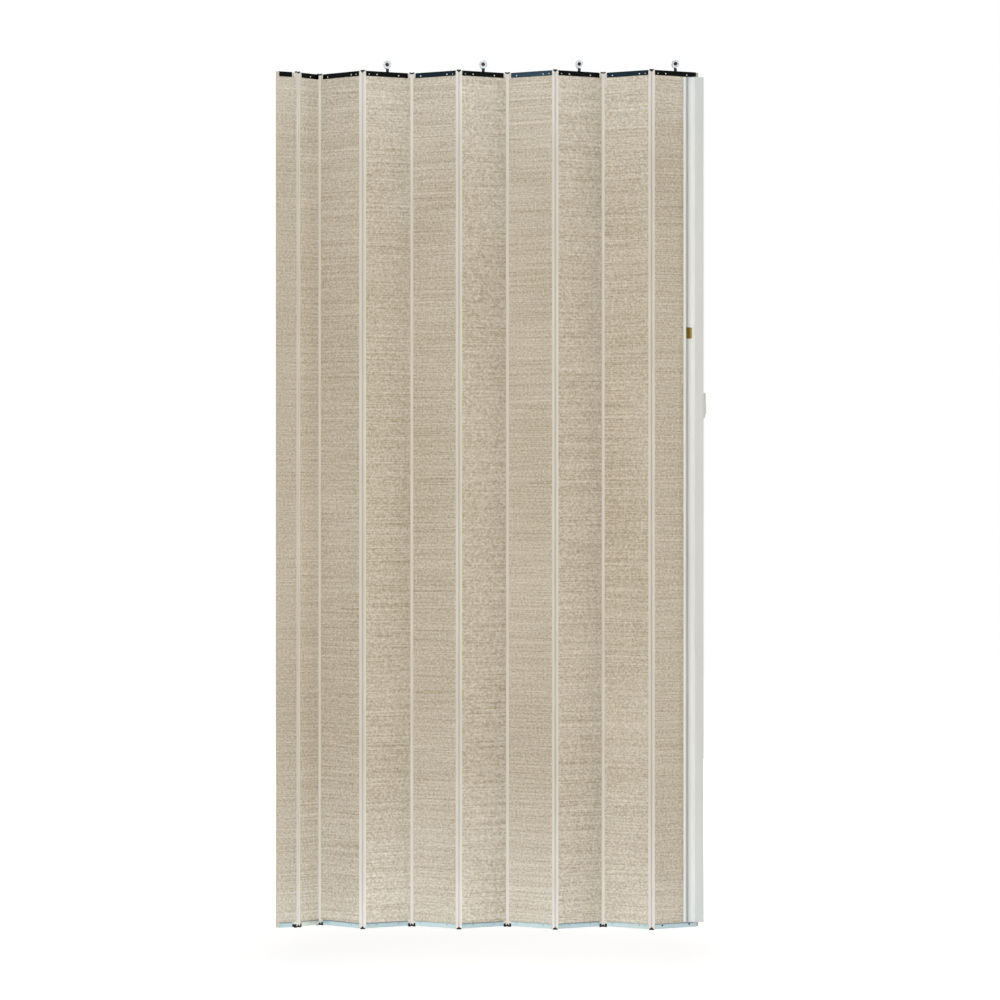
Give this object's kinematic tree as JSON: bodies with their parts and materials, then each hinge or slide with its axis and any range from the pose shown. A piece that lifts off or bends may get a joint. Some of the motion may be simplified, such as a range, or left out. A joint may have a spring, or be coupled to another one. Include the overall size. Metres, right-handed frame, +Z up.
{
  "type": "accordion folding door",
  "caption": "Fabric-faced accordion folding door: slim boards on vinyl hinges with steel end caps, hung on wheeled trolleys, with a lead post and spring latch.",
  "frame": {"origin": "middle of the jamb strip's outer edge face, where the door meets the wall", "axes": "+X along the track towards the lead post, -Y the front, +Z up"},
  "size_m": [1.0027, 0.0729, 2.0222],
  "materials": {
    "linen_board": "beige linen facing on a wood-fibre core",
    "blued_steel": "blue-black sheet steel",
    "zinc_steel": "bright zinc-plated sheet steel",
    "hinge_vinyl": "off-white flexible vinyl, satin",
    "black_clip": "black rubber",
    "dark_steel": "dark oxide steel",
    "white_nylon": "white nylon",
    "post_vinyl": "off-white rigid vinyl, satin",
    "case_steel": "zinc-plated steel"
  },
  "bodies": {
    "jamb": {"board_jamb": "linen_board", "top_cap_jamb": "blued_steel", "bottom_cap_jamb": "zinc_steel", "hinge_0": "hinge_vinyl", "hinge_clips_0": "black_clip"},
    "half_panel": {"board_half": "linen_board", "top_cap_half": "blued_steel", "bottom_cap_half": "zinc_steel", "hinge_1": "hinge_vinyl", "hinge_clips_1": "black_clip"},
    "panel_1": {"board_1": "linen_board", "top_cap_1": "blued_steel", "bottom_cap_1": "zinc_steel", "hinge_2": "hinge_vinyl", "hinge_clips_2": "black_clip"},
    "panel_2": {"board_2": "linen_board", "top_cap_2": "blued_steel", "bottom_cap_2": "zinc_steel", "hinge_3": "hinge_vinyl", "hinge_clips_3": "black_clip"},
    "panel_3": {"board_3": "linen_board", "top_cap_3": "blued_steel", "bottom_cap_3": "zinc_steel", "hinge_4": "hinge_vinyl", "hinge_clips_4": "black_clip"},
    "panel_4": {"board_4": "linen_board", "top_cap_4": "blued_steel", "bottom_cap_4": "zinc_steel", "hinge_5": "hinge_vinyl", "hinge_clips_5": "black_clip"},
    "panel_5": {"board_5": "linen_board", "top_cap_5": "blued_steel", "bottom_cap_5": "zinc_steel", "hinge_6": "hinge_vinyl", "hinge_clips_6": "black_clip"},
    "panel_6": {"board_6": "linen_board", "top_cap_6": "blued_steel", "bottom_cap_6": "zinc_steel", "hinge_7": "hinge_vinyl", "hinge_clips_7": "black_clip"},
    "panel_7": {"board_7": "linen_board", "top_cap_7": "blued_steel", "bottom_cap_7": "zinc_steel", "hinge_8": "hinge_vinyl", "hinge_clips_8": "black_clip"},
    "panel_8": {"board_8": "linen_board", "top_cap_8": "blued_steel", "bottom_cap_8": "zinc_steel", "lead_post": "post_vinyl", "latch_case": "case_steel", "latch_spring": "case_steel"},
    "trolley_2": {"hanger_2": "dark_steel"},
    "wheel_pair_2": {"wheels_2": "white_nylon"},
    "trolley_4": {"hanger_4": "dark_steel"},
    "wheel_pair_4": {"wheels_4": "white_nylon"},
    "trolley_6": {"hanger_6": "dark_steel"},
    "wheel_pair_6": {"wheels_6": "white_nylon"},
    "trolley_8": {"hanger_8": "dark_steel"},
    "wheel_pair_8": {"wheels_8": "white_nylon"},
    "latch": {"latch_tongue": "post_vinyl"}
  },
  "joints": [
    {"name": "fold", "type": "hinge", "parent": "jamb", "child": "half_panel", "pos_m": [0.0482, 0.02046, 0], "axis": [0, 0, 1], "range_deg": [-14, 46], "deforming": ["hinge_0", "hinge_clips_0"]},
    {"name": "fold_1", "type": "hinge", "parent": "half_panel", "child": "panel_1", "pos_m": [0.09735, 0.05563, 0], "axis": [0, 0, 1], "range_deg": [-92, 28], "deforming": ["hinge_1", "hinge_clips_1"]},
    {"name": "fold_2", "type": "hinge", "parent": "panel_1", "child": "panel_2", "pos_m": [0.20244, 0.00103, 0], "axis": [0, 0, 1], "range_deg": [-28, 92], "deforming": ["hinge_2", "hinge_clips_2"]},
    {"name": "fold_3", "type": "hinge", "parent": "panel_2", "child": "panel_3", "pos_m": [0.3143, 0.03989, 0], "axis": [0, 0, 1], "range_deg": [-92, 28], "deforming": ["hinge_3", "hinge_clips_3"]},
    {"name": "fold_4", "type": "hinge", "parent": "panel_3", "child": "panel_4", "pos_m": [0.42617, 0.00103, 0], "axis": [0, 0, 1], "range_deg": [-28, 92], "deforming": ["hinge_4", "hinge_clips_4"]},
    {"name": "fold_5", "type": "hinge", "parent": "panel_4", "child": "panel_5", "pos_m": [0.53803, 0.03989, 0], "axis": [0, 0, 1], "range_deg": [-92, 28], "deforming": ["hinge_5", "hinge_clips_5"]},
    {"name": "fold_6", "type": "hinge", "parent": "panel_5", "child": "panel_6", "pos_m": [0.6499, 0.00103, 0], "axis": [0, 0, 1], "range_deg": [-28, 92], "deforming": ["hinge_6", "hinge_clips_6"]},
    {"name": "fold_7", "type": "hinge", "parent": "panel_6", "child": "panel_7", "pos_m": [0.76177, 0.03989, 0], "axis": [0, 0, 1], "range_deg": [-92, 28], "deforming": ["hinge_7", "hinge_clips_7"]},
    {"name": "fold_8", "type": "hinge", "parent": "panel_7", "child": "panel_8", "pos_m": [0.87363, 0.00103, 0], "axis": [0, 0, 1], "range_deg": [-28, 92], "deforming": ["hinge_8", "hinge_clips_8"]},
    {"name": "swivel_2", "type": "hinge", "parent": "panel_2", "child": "trolley_2", "pos_m": [0.25837, 0.02046, 0.997], "axis": [0, 0, 1], "range_deg": [-46, 14]},
    {"name": "roll_2", "type": "hinge", "parent": "trolley_2", "child": "wheel_pair_2", "pos_m": [0.25837, 0.02046, 1.0135], "axis": [0, 1, 0], "continuous": true},
    {"name": "swivel_4", "type": "hinge", "parent": "panel_4", "child": "trolley_4", "pos_m": [0.4821, 0.02046, 0.997], "axis": [0, 0, 1], "range_deg": [-46, 14]},
    {"name": "roll_4", "type": "hinge", "parent": "trolley_4", "child": "wheel_pair_4", "pos_m": [0.4821, 0.02046, 1.0135], "axis": [0, 1, 0], "continuous": true},
    {"name": "swivel_6", "type": "hinge", "parent": "panel_6", "child": "trolley_6", "pos_m": [0.70583, 0.02046, 0.997], "axis": [0, 0, 1], "range_deg": [-46, 14]},
    {"name": "roll_6", "type": "hinge", "parent": "trolley_6", "child": "wheel_pair_6", "pos_m": [0.70583, 0.02046, 1.0135], "axis": [0, 1, 0], "continuous": true},
    {"name": "swivel_8", "type": "hinge", "parent": "panel_8", "child": "trolley_8", "pos_m": [0.92956, 0.02046, 0.997], "axis": [0, 0, 1], "range_deg": [-46, 14]},
    {"name": "roll_8", "type": "hinge", "parent": "trolley_8", "child": "wheel_pair_8", "pos_m": [0.92956, 0.02046, 1.0135], "axis": [0, 1, 0], "continuous": true},
    {"name": "latch_slide", "type": "slide", "parent": "panel_8", "child": "latch", "axis": [-0.9135, -0.4067, 0], "range_m": [0, 0.01], "stiffness_N_per_m": 250, "springref_m": -0.004, "deforming": ["latch_spring"]}
  ],
  "couplings": [
    {"joint": "fold_1", "follows": "fold", "ratio": -2},
    {"joint": "fold_2", "follows": "fold", "ratio": 2},
    {"joint": "fold_3", "follows": "fold", "ratio": -2},
    {"joint": "fold_4", "follows": "fold", "ratio": 2},
    {"joint": "fold_5", "follows": "fold", "ratio": -2},
    {"joint": "fold_6", "follows": "fold", "ratio": 2},
    {"joint": "fold_7", "follows": "fold", "ratio": -2},
    {"joint": "fold_8", "follows": "fold", "ratio": 2},
    {"joint": "swivel_2", "follows": "fold", "ratio": -1},
    {"joint": "swivel_4", "follows": "fold", "ratio": -1},
    {"joint": "swivel_6", "follows": "fold", "ratio": -1},
    {"joint": "swivel_8", "follows": "fold", "ratio": -1}
  ]
}
